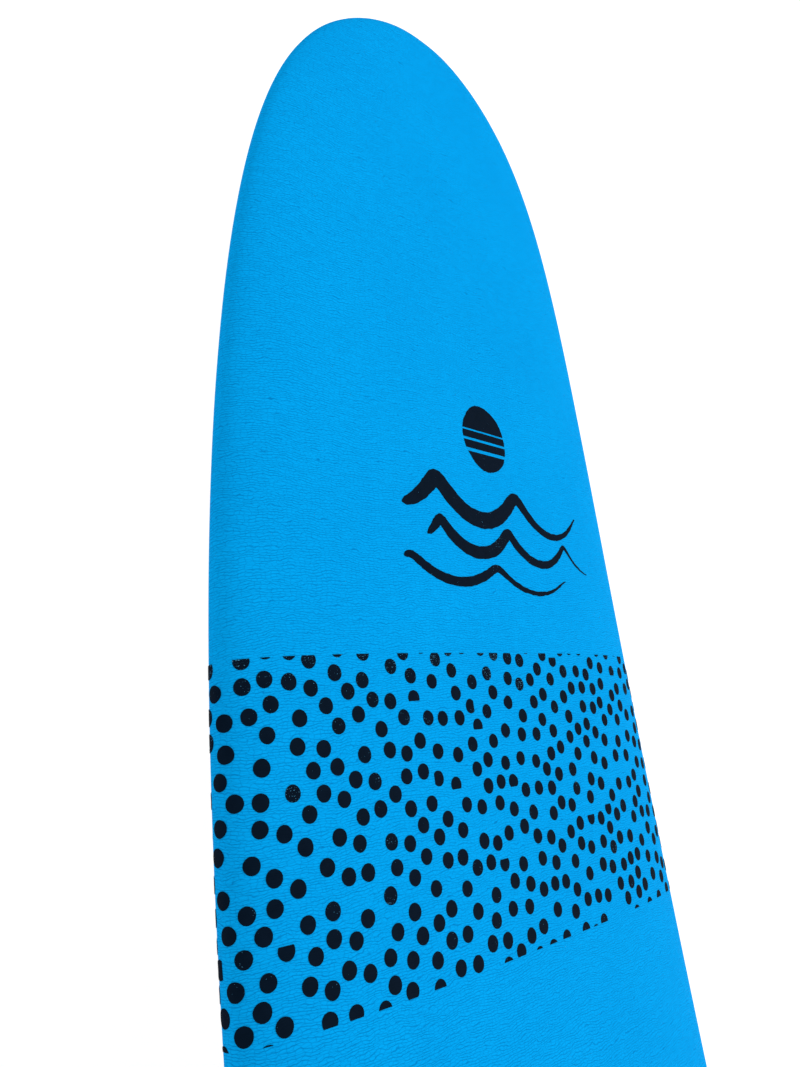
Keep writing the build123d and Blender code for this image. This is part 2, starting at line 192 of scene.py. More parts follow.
# ---------------------------------------------------------------- material helpers
class Nodes:
    """A small helper that makes a node material and links its nodes."""

    def __init__(self, name):
        self.material = bpy.data.materials.new(name)
        self.material.use_nodes = True
        self.tree = self.material.node_tree
        self.tree.nodes.clear()
        self.out = self.tree.nodes.new("ShaderNodeOutputMaterial")
        self.shader = self.tree.nodes.new("ShaderNodeBsdfPrincipled")
        self.tree.links.new(self.shader.outputs[0], self.out.inputs[0])

    def node(self, kind, **values):
        made = self.tree.nodes.new(kind)
        for key, value in values.items():
            setattr(made, key, value)
        return made

    def link(self, source, target):
        self.tree.links.new(source, target)

    def set(self, **values):
        """Sets uniform values on the shader, with _ for a space in a socket's name."""
        for key, value in values.items():
            self.shader.inputs[key.replace("_", " ")].default_value = value

    def specular(self, level):
        self.shader.inputs["Specular IOR Level"].default_value = level

    def sheet(self):
        """Place on the flat foam sheet: x along the board, y round it from the centre line, in metres."""
        return self.node("ShaderNodeUVMap", uv_map="sheet").outputs[0]

    def place(self):
        """Place in the frame, in metres."""
        return self.node("ShaderNodeTexCoord").outputs["Object"]

    def scaled(self, source, scale):
        """Place multiplied by a scale along each axis."""
        made = self.node("ShaderNodeMapping")
        made.inputs["Scale"].default_value = scale
        self.link(source, made.inputs["Vector"])
        return made.outputs[0]

    def noise_node(self, source, scale, detail=2.0, rough=0.5):
        made = self.node("ShaderNodeTexNoise")
        made.inputs["Scale"].default_value = scale
        made.inputs["Detail"].default_value = detail
        made.inputs["Roughness"].default_value = rough
        self.link(source, made.inputs["Vector"])
        return made

    def noise(self, source, scale, detail=2.0, rough=0.5):
        """Smooth random value from 0 to 1."""
        return self.noise_node(source, scale, detail, rough).outputs["Fac"]

    def cell_edges(self, source, scale, flat=False):
        """Distance to the edges of random cells."""
        made = self.node("ShaderNodeTexVoronoi", feature="DISTANCE_TO_EDGE")
        made.voronoi_dimensions = "2D" if flat else "3D"
        made.inputs["Scale"].default_value = scale
        self.link(source, made.inputs["Vector"])
        return made.outputs["Distance"]

    def ramp(self, source, stops):
        """Value or colour read off stops, each a (position, value or colour) pair."""
        made = self.node("ShaderNodeValToRGB")
        line = made.color_ramp
        while len(line.elements) < len(stops):
            line.elements.new(0.5)
        for element, (place, value) in zip(line.elements, stops):
            element.position = place
            element.color = value if isinstance(value, tuple) else (value, value, value, 1.0)
        self.link(source, made.inputs[0])
        return made.outputs[0]

    def math(self, operation, first, second=None, clamp=False):
        made = self.node("ShaderNodeMath", operation=operation, use_clamp=clamp)
        for socket, value in zip(made.inputs, (first, second)):
            if value is None:
                continue
            if isinstance(value, (int, float)):
                socket.default_value = value
            else:
                self.link(value, socket)
        return made.outputs[0]

    def mix(self, factor, first, second):
        made = self.node("ShaderNodeMix", data_type="RGBA")
        for socket, value in ((made.inputs[0], factor), (made.inputs[6], first), (made.inputs[7], second)):
            if isinstance(value, (int, float, tuple)):
                socket.default_value = value
            else:
                self.link(value, socket)
        return made.outputs[2]

    def warp(self, source, noise_scale, amount):
        """Place shifted by a smooth random field, by up to half the amount each way."""
        field = self.noise_node(source, noise_scale, 1.0)
        centred = self.node("ShaderNodeVectorMath", operation="SUBTRACT")
        centred.inputs[1].default_value = (0.5, 0.5, 0.5)
        self.link(field.outputs["Color"], centred.inputs[0])
        sized = self.node("ShaderNodeVectorMath", operation="SCALE")
        sized.inputs["Scale"].default_value = amount
        self.link(centred.outputs[0], sized.inputs[0])
        added = self.node("ShaderNodeVectorMath", operation="ADD")
        self.link(source, added.inputs[0])
        self.link(sized.outputs[0], added.inputs[1])
        return added.outputs[0]

    def bump(self, height, strength, distance):
        """Fine relief of the given depth in metres."""
        made = self.node("ShaderNodeBump")
        made.inputs["Strength"].default_value = strength
        made.inputs["Distance"].default_value = distance
        self.link(height, made.inputs["Height"])
        self.link(made.outputs[0], self.shader.inputs["Normal"])


CREASES_PER_METRE = 470.0
# How many creases a line may wander across, and the long creases' share of the relief.
CREASE_DRIFT = 3.2
CREASE_SHARE = 0.65


def crease_height(nodes, sheet):
    """Fine creases of the foam's skin: thin wavering lines across the board, with small cracks between."""
    bent = nodes.warp(sheet, 11.0, 0.016)
    bent = nodes.warp(bent, 170.0, 0.0011)
    apart = nodes.node("ShaderNodeSeparateXYZ")
    nodes.link(bent, apart.inputs[0])
    wander = nodes.noise(nodes.scaled(bent, (150.0, 60.0, 1.0)), 1.0, 2.0)
    count = nodes.math("MULTIPLY", apart.outputs[0], CREASES_PER_METRE)
    phase = nodes.math("FRACT", nodes.math("ADD", count, nodes.math("MULTIPLY", wander, CREASE_DRIFT)))
    from_line = nodes.math("MULTIPLY", nodes.math("ABSOLUTE", nodes.math("SUBTRACT", phase, 0.5)), 2.0)
    lines = nodes.ramp(from_line, [(0.0, 1.0), (0.13, 0.50), (0.32, 0.0)])
    strong = nodes.noise(nodes.scaled(bent, (240.0, 75.0, 1.0)), 1.0, 1.0)
    lines = nodes.math("MULTIPLY", lines, nodes.ramp(strong, [(0.30, 0.35), (0.56, 1.0)]))
    creases = nodes.math("SUBTRACT", 1.0, lines)
    cells = nodes.cell_edges(nodes.scaled(bent, (520.0, 210.0, 1.0)), 1.0, True)
    cracks = nodes.ramp(cells, [(0.0, 0.42), (0.08, 0.88), (0.18, 1.0)])
    return creases, cracks


def crease_bump(nodes, creases, cracks, strength, depth):
    """Relief of the skin from its creases and cracks."""
    long_part = nodes.math("MULTIPLY", creases, CREASE_SHARE)
    short_part = nodes.math("MULTIPLY", cracks, 1 - CREASE_SHARE)
    nodes.bump(nodes.math("ADD", long_part, short_part), strength, depth)


FOAM_BLUE = (0.0003, 0.292, 0.685, 1.0)
FOAM_LIGHT = (0.0004, 0.305, 0.705, 1.0)
# Painted shade: the darker blue that the creases and cracks are tinted towards, in place of the shade that
# falls into them.
FOAM_PAINTED_CREASE_SHADE = (0.0001, 0.140, 0.390, 1.0)
FOAM_SMUDGE = (0.004, 0.185, 0.470, 1.0)
# How far the creases and cracks are darkened towards the painted shade colour.
PAINTED_SHADE_SHARE = 0.85
INK = (0.0010, 0.0042, 0.0105, 1.0)
INK_WORN = (0.0022, 0.0072, 0.0165, 1.0)
BARE_FLECK = (0.10, 0.38, 0.62, 1.0)
# Flecks crowd within this distance of the band's nose edge, in metres.
FLECK_EDGE = 0.055


def foam_material():
    """Blue closed-cell foam sheet with a creased skin, its colour darkened along the creases and cracks as
    painted shade.
    """
    nodes = Nodes("deck_foam_blue")
    sheet = nodes.sheet()
    creases, cracks = crease_height(nodes, sheet)
    patch = nodes.noise(sheet, 9.0, 3.0, 0.55)
    base = nodes.mix(nodes.ramp(patch, [(0.35, 0.0), (0.65, 1.0)]), FOAM_BLUE, FOAM_LIGHT)
    smudge = nodes.noise(nodes.scaled(sheet, (5.0, 9.0, 1.0)), 1.0, 4.0, 0.6)
    base = nodes.mix(nodes.ramp(smudge, [(0.62, 0.0), (0.80, 0.10)]), base, FOAM_SMUDGE)
    # Painted shade: the colour is darkened where the skin creases and cracks, as if shade fell into them;
    # the bump gives the real relief.
    flat = nodes.math("MULTIPLY", creases, cracks)
    painted_crease_shade = nodes.math("MULTIPLY", nodes.math("SUBTRACT", 1.0, flat), PAINTED_SHADE_SHARE)
    nodes.link(nodes.mix(painted_crease_shade, base, FOAM_PAINTED_CREASE_SHADE), nodes.shader.inputs["Base Color"])
    crease_bump(nodes, creases, cracks, 0.7, 0.00040)
    nodes.set(Roughness=0.80)
    nodes.specular(0.006)
    return nodes.material


def ink_material():
    """Printed ink on the foam; it misses a few creases, where the blue shows."""
    nodes = Nodes("print_ink")
    sheet = nodes.sheet()
    creases, cracks = crease_height(nodes, sheet)
    worn = nodes.noise(sheet, 26.0, 2.0, 0.6)
    apart = nodes.node("ShaderNodeSeparateXYZ")
    nodes.link(sheet, apart.inputs[0])
    off_edge = nodes.math("ABSOLUTE", nodes.math("SUBTRACT", apart.outputs[0], BAND_NOSE_X * MM))
    near_edge = nodes.math("MULTIPLY", nodes.math("SUBTRACT", FLECK_EDGE, off_edge, clamp=True), 2.6)
    amount = nodes.math("ADD", nodes.ramp(worn, [(0.52, 0.0), (0.70, 0.16)]), near_edge)
    specks = nodes.noise(nodes.scaled(sheet, (1500.0, 900.0, 1.0)), 1.0, 1.0)
    shown = nodes.math("GREATER_THAN", nodes.math("ADD", specks, amount), 0.80)
    low = nodes.math("LESS_THAN", creases, 0.96)
    bare = nodes.math("MULTIPLY", nodes.math("MULTIPLY", shown, low), 0.75)
    patch = nodes.noise(sheet, 120.0, 2.0)
    ink = nodes.mix(patch, INK, INK_WORN)
    nodes.link(nodes.mix(bare, ink, BARE_FLECK), nodes.shader.inputs["Base Color"])
    crease_bump(nodes, creases, cracks, 0.6, 0.00035)
    nodes.set(Roughness=0.72)
    nodes.specular(0.015)
    return nodes.material


SLICK_GREY = (0.80, 0.81, 0.81, 1.0)
SLICK_WHITE = (0.86, 0.87, 0.87, 1.0)
SLICK_SCUFF = (0.62, 0.64, 0.66, 1.0)


def slick_material():
    """Semi-gloss plastic bottom sheet with faint scuffs along the board."""
    nodes = Nodes("slick_white")
    place = nodes.place()
    scuffs = nodes.noise(nodes.scaled(place, (14.0, 420.0, 60.0)), 1.0, 4.0, 0.6)
    cloud = nodes.noise(place, 5.0, 3.0)
    base = nodes.mix(cloud, SLICK_GREY, SLICK_WHITE)
    colour = nodes.mix(nodes.ramp(scuffs, [(0.62, 0.0), (0.80, 0.35)]), base, SLICK_SCUFF)
    nodes.link(colour, nodes.shader.inputs["Base Color"])
    nodes.link(nodes.ramp(scuffs, [(0.35, 0.22), (0.75, 0.42)]), nodes.shader.inputs["Roughness"])
    nodes.bump(nodes.noise(place, 60.0, 3.0), 0.15, 0.0004)
    return nodes.material


def bead_material(name, low, high, scale, strength):
    """Moulded bead foam: packed rounded cells with thin darker joints."""
    nodes = Nodes(name)
    place = nodes.place()
    cells = nodes.cell_edges(place, scale)
    joints = nodes.ramp(cells, [(0.0, 0.0), (0.12, 0.7), (0.4, 1.0)])
    tint = nodes.noise(place, scale / 6, 2.0)
    base = nodes.mix(tint, low, high)
    dark = tuple(0.72 * part for part in low[:3]) + (1.0,)
    nodes.link(nodes.mix(joints, dark, base), nodes.shader.inputs["Base Color"])
    nodes.bump(joints, strength, 0.0006)
    nodes.set(Roughness=0.8)
    nodes.specular(0.2)
    return nodes.material


WOOD_DARK = (0.36, 0.21, 0.10, 1.0)
WOOD_MIDDLE = (0.56, 0.37, 0.20, 1.0)
WOOD_PALE = (0.68, 0.49, 0.29, 1.0)
WOOD_PORE = (0.25, 0.14, 0.07, 1.0)


def wood_material():
    """Bare plywood strip: long grain with darker lines and fine pores."""
    nodes = Nodes("stringer_ply")
    place = nodes.place()
    grain = nodes.noise(nodes.scaled(place, (5.0, 240.0, 240.0)), 1.0, 5.0, 0.62)
    pores = nodes.noise(nodes.scaled(place, (60.0, 1800.0, 1800.0)), 1.0, 2.0)
    colour = nodes.ramp(grain, [(0.30, WOOD_DARK), (0.52, WOOD_MIDDLE), (0.72, WOOD_PALE)])
    colour = nodes.mix(nodes.ramp(pores, [(0.60, 0.0), (0.75, 0.5)]), colour, WOOD_PORE)
    nodes.link(colour, nodes.shader.inputs["Base Color"])
    nodes.bump(grain, 0.3, 0.0003)
    nodes.set(Roughness=0.62)
    return nodes.material


def moulded_material(name, low, high, rough_low, rough_high):
    """Injection-moulded plastic: fine spark texture, faint flow marks and handling scuffs."""
    nodes = Nodes(name)
    place = nodes.place()
    spark = nodes.noise(place, 1600.0, 2.0, 0.6)
    flow = nodes.noise(nodes.scaled(place, (22.0, 22.0, 60.0)), 1.0, 3.0)
    scuff = nodes.noise(nodes.scaled(place, (70.0, 900.0, 120.0)), 1.0, 3.0, 0.6)
    colour = nodes.mix(flow, low, high)
    pale = tuple(min(1.0, part * 2.6 + 0.01) for part in high[:3]) + (1.0,)
    colour = nodes.mix(nodes.ramp(scuff, [(0.66, 0.0), (0.80, 0.45)]), colour, pale)
    nodes.link(colour, nodes.shader.inputs["Base Color"])
    nodes.link(nodes.ramp(flow, [(0.3, rough_low), (0.7, rough_high)]), nodes.shader.inputs["Roughness"])
    nodes.bump(spark, 0.25, 0.00012)
    nodes.specular(0.45)
    return nodes.material


STEEL_DARK = (0.50, 0.50, 0.51, 1.0)
STEEL_PALE = (0.63, 0.63, 0.64, 1.0)


def steel_material(name, stretch):
    """Stainless steel with drawing or turning lines."""
    nodes = Nodes(name)
    place = nodes.place()
    lines = nodes.noise(nodes.scaled(place, stretch), 1.0, 3.0, 0.6)
    cloud = nodes.noise(place, 140.0, 3.0)
    colour = nodes.mix(cloud, STEEL_DARK, STEEL_PALE)
    nodes.link(colour, nodes.shader.inputs["Base Color"])
    nodes.link(nodes.ramp(lines, [(0.3, 0.20), (0.7, 0.38)]), nodes.shader.inputs["Roughness"])
    nodes.bump(lines, 0.2, 0.00006)
    nodes.set(Metallic=1.0)
    return nodes.material


# ---------------------------------------------------------------- mesh helpers
def new_object(name, vertices, faces, material, sheet=None, smooth=True):
    """Mesh object from points in mm, with its sheet coordinates as UVs in metres."""
    mesh = bpy.data.meshes.new(name)
    mesh.from_pydata([tuple(v) for v in np.asarray(vertices) * MM], [], faces)
    if sheet is not None:
        layer = mesh.uv_layers.new(name="sheet")
        corner = np.empty(len(mesh.loops), dtype=np.int32)
        mesh.loops.foreach_get("vertex_index", corner)
        layer.data.foreach_set("uv", (np.asarray(sheet)[corner] * MM).astype(np.float32).ravel())
    mesh.materials.append(material)
    mesh.polygons.foreach_set("use_smooth", [smooth] * len(mesh.polygons))
    mesh.update()
    made = bpy.data.objects.new(name, mesh)
    bpy.context.scene.collection.objects.link(made)
    return made


def grid_faces(rows, columns, start=0, flip=False):
    """Quads of a rows x columns grid of vertices."""
    faces = []
    for i in range(rows - 1):
        for j in range(columns - 1):
            a = start + i * columns + j
            quad = (a, a + 1, a + columns + 1, a + columns)
            faces.append(tuple(reversed(quad)) if flip else quad)
    return faces


WELD = 1e-5
SMALLEST_EDGE = 1e-6


def merge(made):
    """Welds coincident vertices and makes the faces look outwards."""
    work = bmesh.new()
    work.from_mesh(made.data)
    bmesh.ops.remove_doubles(work, verts=work.verts, dist=WELD)
    bmesh.ops.dissolve_degenerate(work, edges=work.edges, dist=SMALLEST_EDGE)
    bmesh.ops.recalc_face_normals(work, faces=work.faces)
    work.to_mesh(made.data)
    work.free()
    made.data.update()


BEND_SHARE = 0.35
TIP_TURN = 0.42


def stations(count_body, count_tip):
    """Section positions: even along the board and crowded into both tips."""
    last = math.asin(END_U)
    bend = np.sin(np.linspace(0, last, count_body))
    even = np.linspace(0, 1, count_body) * END_U
    body = BEND_SHARE * bend + (1 - BEND_SHARE) * even
    tip = np.sin(np.linspace(last - TIP_TURN, last, count_tip))
    share = np.unique(np.concatenate([body, tip]))
    nose = WIDE_POINT_X + (HALF_LENGTH - WIDE_POINT_X) * share
    tail = WIDE_POINT_X - (HALF_LENGTH + WIDE_POINT_X) * share[1:]
    return np.concatenate([tail[::-1], nose])


# ---------------------------------------------------------------- deck foam
DECK_FOAM = 6.0
OUTER_COLUMNS = 151
INNER_COLUMNS = 25
BODY_ROWS = 230
TIP_ROWS = 26
LEAST_INSET_Y = 0.4
LEAST_INSET_Z = 0.3
RAIL_TURN = math.radians(100.0)
UPPER_SHARE = 0.8


def girth_row(x_all, columns, ends):
    """Section angles and girths for each x.

    The upper share of the columns is spread evenly over the deck and round the rails, and the rest
    from there to the seam.
    """
    angle, girth = girth_table(x_all)
    spread = np.linspace(-1, 1, columns)
    upper = np.minimum(np.abs(spread) / UPPER_SHARE, 1.0)
    under = np.maximum(np.abs(spread) - UPPER_SHARE, 0.0) / (1 - UPPER_SHARE)
    rows = np.empty((len(x_all), columns))
    distance = np.empty((len(x_all), columns))
    for i in range(len(x_all)):
        turn, reach = np.interp([RAIL_TURN, ends[i]], angle, girth[i])
        distance[i] = np.sign(spread) * (upper * turn + under * (reach - turn))
        rows[i] = np.sign(spread) * np.interp(np.abs(distance[i]), girth[i], angle)
    return rows, distance


def inner_skin(x_all, ends):
    """The foam's inside surface, 6 mm in from the outside, with its girths."""
    rows, girth = girth_row(x_all, INNER_COLUMNS, ends)
    inner = section(x_all[:, None], rows)
    half = outline(x_all)[:, None]
    rail_z, rise, drop = (value[:, None] for value in levels(x_all))
    keep_y = np.clip((half - DECK_FOAM) / np.maximum(half, 1e-6), LEAST_INSET_Y, 1.0)
    keep_up = np.clip((rise - DECK_FOAM) / np.maximum(rise, 1e-6), LEAST_INSET_Z, 1.0)
    keep_down = np.clip((drop - DECK_FOAM) / np.maximum(drop, 1e-6), LEAST_INSET_Z, 1.0)
    keep_z = np.where(inner[..., 2] >= rail_z, keep_up, keep_down)
    inner[..., 0] = WIDE_POINT_X + (inner[..., 0] - WIDE_POINT_X) * (1 - DECK_FOAM / HALF_LENGTH)
    inner[..., 1] *= keep_y
    inner[..., 2] = rail_z + (inner[..., 2] - rail_z) * keep_z
    return inner, girth


def end_cap(first, columns):
    """Faces that close one end row of a grid, each joining a left column to its right one."""
    faces = []
    for j in range(columns // 2):
        a, b = first + j, first + j + 1
        c, d = first + columns - 2 - j, first + columns - 1 - j
        faces.append((a, b, c, d) if b != c else (a, b, d))
    return faces


def sheet_place(x_all, girth):
    """Place of each grid point on the flat foam sheet."""
    return np.stack([np.broadcast_to(x_all[:, None], girth.shape), girth], -1).reshape(-1, 2)


def make_deck():
    """Closed foam skin: outside surface, inside surface 6 mm in, and the edge along the seam."""
    x_all = stations(BODY_ROWS, TIP_ROWS)
    ends = seam_angle(x_all)
    closed = ends > math.pi - 1e-9
    rows, girth = girth_row(x_all, OUTER_COLUMNS, ends)
    outer = section(x_all[:, None], rows)
    inner, inner_girth = inner_skin(x_all, ends)
    count = len(x_all)
    base = count * OUTER_COLUMNS
    faces = grid_faces(count, OUTER_COLUMNS)
    faces += grid_faces(count, INNER_COLUMNS, base, flip=True)
    for i in range(count - 1):
        if closed[i] and closed[i + 1]:
            continue
        for out_j, in_j in ((0, 0), (OUTER_COLUMNS - 1, INNER_COLUMNS - 1)):
            a, b = i * OUTER_COLUMNS + out_j, (i + 1) * OUTER_COLUMNS + out_j
            c, d = base + (i + 1) * INNER_COLUMNS + in_j, base + i * INNER_COLUMNS + in_j
            faces.append((a, b, c, d))
    for columns, start in ((OUTER_COLUMNS, 0), (INNER_COLUMNS, base)):
        faces += end_cap(start, columns)
        faces += end_cap(start + (count - 1) * columns, columns)
    vertices = np.concatenate([outer.reshape(-1, 3), inner.reshape(-1, 3)])
    sheet = np.concatenate([sheet_place(x_all, girth), sheet_place(x_all, inner_girth)])
    made = new_object("deck_foam_skin", vertices, faces, foam_material(), sheet)
    merge(made)
    return made


# ---------------------------------------------------------------- holes for the sleeves and the leash plug
SLEEVE_R = 9.0
SLEEVE_FLANGE_R = 13.0
SLEEVE_FLANGE_T = 3.0
CUP_R = 14.0
CUP_FLANGE_R = 18.0
CUP_FLANGE_T = 2.6
CUT_SHARP_ANGLE = math.radians(35)
SEAT_SIDES = 64
BOSS_HOLE_R = 7.0
BOSS_HOLE_SIDES = 48
BOSS_HOLE_REACH = 12.0
PLUG_DEPTH = 60.0
PLUG_RISE = 25.0


def turned_plug(x, y, z, profile, sides):
    """Closed turned solid at (x, y, z), from its (radius, height) profile, bottom first."""
    points = []
    for r, h in profile:
        for k in range(sides):
            turn = 2 * math.pi * k / sides
            points.append((x + r * math.cos(turn), y + r * math.sin(turn), z + h))
    faces = []
    for ring in range(len(profile) - 1):
        for k in range(sides):
            a = ring * sides + k
            b = ring * sides + (k + 1) % sides
            faces.append((a, b, b + sides, a + sides))
    faces.append(tuple(reversed(range(sides))))
    faces.append(tuple(range((len(profile) - 1) * sides, len(profile) * sides)))
    return points, faces


def cut_away(target, plugs):
    """Cuts turned plugs, each given as its points and faces, out of a closed piece."""
    points, faces = [], []
    for plug_points, plug_faces in plugs:
        faces += [tuple(i + len(points) for i in face) for face in plug_faces]
        points += plug_points
    cutter = new_object("cutter", points, faces, target.data.materials[0], smooth=False)
    merge(cutter)
    cut = target.modifiers.new("cut", "BOOLEAN")
    cut.operation = "DIFFERENCE"
    cut.solver = "EXACT"
    cut.object = cutter
    bpy.context.view_layer.update()
    evaluated = target.evaluated_get(bpy.context.evaluated_depsgraph_get())
    mesh = bpy.data.meshes.new_from_object(evaluated)
    target.modifiers.clear()
    old = target.data
    target.data = mesh
    bpy.data.meshes.remove(old)
    bpy.data.objects.remove(cutter)
    target.data.set_sharp_from_angle(angle=CUT_SHARP_ANGLE)


def middle_of(name):
    """Middle of a CAD node's box, in mm."""
    low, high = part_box(name)
    return (low + high) / 2 * METRE


def cut_seats(deck):
    """Cuts the flange seats of the sleeves and the leash plug through the foam skin."""
    plugs = []
    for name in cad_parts:
        if name.startswith("fin_sleeve"):
            radius, wide, step = SLEEVE_R, SLEEVE_FLANGE_R, SLEEVE_FLANGE_T
        elif name == "leash_cup":
            radius, wide, step = CUP_R, CUP_FLANGE_R, CUP_FLANGE_T
        else:
            continue
        radius, wide, step = radius + GLUE_GAP, wide + GLUE_GAP, step + GLUE_GAP
        profile = [(radius, -PLUG_DEPTH), (radius, -step), (wide, -step), (wide, PLUG_RISE)]
        place = middle_of(name)
        plugs.append(turned_plug(place.x, place.y, float(deck_z(place.x, place.y)), profile, SEAT_SIDES))
    cut_away(deck, plugs)


def cut_boss_holes(panel):
    """Holes in the slick that the fins' bosses pass through."""
    plugs = []
    profile = [(BOSS_HOLE_R, -BOSS_HOLE_REACH), (BOSS_HOLE_R, BOSS_HOLE_REACH)]
    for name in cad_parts:
        if name.startswith("fin_sleeve"):
            place = middle_of(name)
            z = float(belly_z(place.x, place.y))
            plugs.append(turned_plug(place.x, place.y, z, profile, BOSS_HOLE_SIDES))
    cut_away(panel, plugs)


# ---------------------------------------------------------------- slick bottom
SLICK_COLUMNS = 61


def make_slick():
    """Closed 2 mm plastic sheet over the bottom."""
    x_all = stations(150, 20)
    nose_end = HALF_LENGTH - SEAM_NOSE_INSET - GLUE_GAP
    tail_end = -HALF_LENGTH + SEAM_TAIL_INSET + GLUE_GAP
    reach = x_all - WIDE_POINT_X
    x_all = WIDE_POINT_X + np.where(
        x_all >= WIDE_POINT_X,
        reach * (nose_end - WIDE_POINT_X) / (HALF_LENGTH - WIDE_POINT_X),
        reach * (tail_end - WIDE_POINT_X) / (-HALF_LENGTH - WIDE_POINT_X),
    )
    half = outline(x_all, SEAM_NOSE_INSET + GLUE_GAP, SEAM_TAIL_INSET + GLUE_GAP, SEAM_INSET + GLUE_GAP)
    spread = np.sin(np.linspace(-math.pi / 2, math.pi / 2, SLICK_COLUMNS))
    y = half[:, None] * spread[None, :]
    x = np.broadcast_to(x_all[:, None], y.shape)
    low = belly_z(x, y)
    outer = np.stack([x, y, low], -1).reshape(-1, 3)
    inner = np.stack([x, y, low + SLICK], -1).reshape(-1, 3)
    count = len(x_all)
    base = count * SLICK_COLUMNS
    faces = grid_faces(count, SLICK_COLUMNS, flip=True)
    faces += grid_faces(count, SLICK_COLUMNS, base)
    ring = [i * SLICK_COLUMNS for i in range(count)]
    ring += [(count - 1) * SLICK_COLUMNS + j for j in range(1, SLICK_COLUMNS)]
    ring += [i * SLICK_COLUMNS + SLICK_COLUMNS - 1 for i in range(count - 2, -1, -1)]
    ring += [j for j in range(SLICK_COLUMNS - 2, 0, -1)]
    for a, b in zip(ring, ring[1:] + ring[:1]):
        faces.append((a, b, b + base, a + base))
    made = new_object("slick_bottom", np.concatenate([outer, inner]), faces, slick_material())
    merge(made)
    cut_boss_holes(made)
    return made


# ---------------------------------------------------------------- print
INK_LIFT = 0.14
INK_SINK = -0.30
BAND_NOSE_X = 731.0
BAND_TAIL_X = 486.0
DOT_R = 6.15
DOT_SPACING = 17.0
DOT_SIDES = 40
DOT_TRIES = 60000
# Share of the dots that a joint of the print's tile cuts.
JOINT_CUT_SHARE = 0.055
LEAST_DOT_AREA = 2.0
SEAM_MARGIN = 1.0
PRINT_STEP = 2.2
PRINT_PASSES = 6
PRINT_SHARP_ANGLE = math.radians(40)


class Print:
    """Thin closed patches of ink that follow the foam's surface."""

    def __init__(self):
        self.sheet = []
        self.top = []
        self.faces = []

    def polygon(self, outline_points):
        """Adds one closed shape given by its corners on the sheet (x, s) in mm."""
        work = bmesh.new()
        corners = [work.verts.new((x, s, 0.0)) for x, s in outline_points]
        work.faces.new(corners)
        bmesh.ops.triangulate(work, faces=work.faces[:])
        for _ in range(PRINT_PASSES):
            long_edges = [e for e in work.edges if not e.is_boundary and e.calc_length() > 2 * PRINT_STEP]
            if not long_edges:
                break
            bmesh.ops.subdivide_edges(work, edges=long_edges, cuts=1)
            bmesh.ops.triangulate(work, faces=work.faces[:])
        work.verts.index_update()
        start = len(self.sheet)
        count = len(work.verts)
        self.sheet += [(v.co.x, v.co.y) for v in work.verts] * 2
        self.top += [True] * count + [False] * count
        work.normal_update()
        for face in work.faces:
            ids = [start + v.index for v in face.verts]
            if face.normal.z < 0:
                ids.reverse()
            self.faces.append(tuple(ids))
            self.faces.append(tuple(i + count for i in reversed(ids)))
        for edge in work.edges:
            if edge.is_boundary:
                a, b = (start + v.index for v in edge.verts)
                self.faces.append((a, b, b + count, a + count))
        work.free()

    def build(self, name, material):
        """Lays the patches on the board as one object."""
        sheet = np.array(self.sheet)
        lift = np.where(self.top, INK_LIFT, INK_SINK)
        points = on_sheet(sheet[:, 0], sheet[:, 1], lift[:, None])
        made = new_object(name, points, self.faces, material, sheet)
        work = bmesh.new()
        work.from_mesh(made.data)
        bmesh.ops.recalc_face_normals(work, faces=work.faces)
        work.to_mesh(made.data)
        work.free()
        made.data.set_sharp_from_angle(angle=PRINT_SHARP_ANGLE)
        return made


def spaced_points(rng, low_x, high_x, reach, spacing):
    """Random points in a rectangle, none nearer than the spacing, packed until no more fit."""
    cell = spacing / math.sqrt(2)
    taken = {}
    found = []
    for _ in range(DOT_TRIES):
        x = rng.uniform(low_x, high_x)
        s = rng.uniform(-reach, reach)
        gx, gs = int(x // cell), int(s // cell)
        near = [taken.get((gx + a, gs + b)) for a in range(-2, 3) for b in range(-2, 3)]
        if all(p is None or math.hypot(p[0] - x, p[1] - s) >= spacing for p in near):
            taken[(gx, gs)] = (x, s)
            found.append((x, s))
    return found


def clip(points, keep):
    """Polygon cut by a line: keep(x, s) is positive on the side that stays."""
    kept = []
    for i, p in enumerate(points):
        q = points[(i + 1) % len(points)]
        a, b = keep(*p), keep(*q)
        if a >= 0:
            kept.append(p)
        if (a >= 0) != (b >= 0):
            t = a / (a - b)
            kept.append((p[0] + t * (q[0] - p[0]), p[1] + t * (q[1] - p[1])))
    return kept


def dot_corners(rng, x, s, radius):
    """Corners of one printed dot, a little uneven."""
    corners = []
    for k in range(DOT_SIDES):
        turn = 2 * math.pi * k / DOT_SIDES
        rough = radius * (1 + 0.012 * math.sin(3 * turn + x) + rng.uniform(-0.008, 0.008))
        corners.append((x + rough * math.cos(turn), s + rough * math.sin(turn)))
    return corners


def area_of(corners):
    """Area of a flat shape given by its corners."""
    return abs(sum(p[0] * q[1] - q[0] * p[1] for p, q in zip(corners, corners[1:] + corners[:1]))) / 2


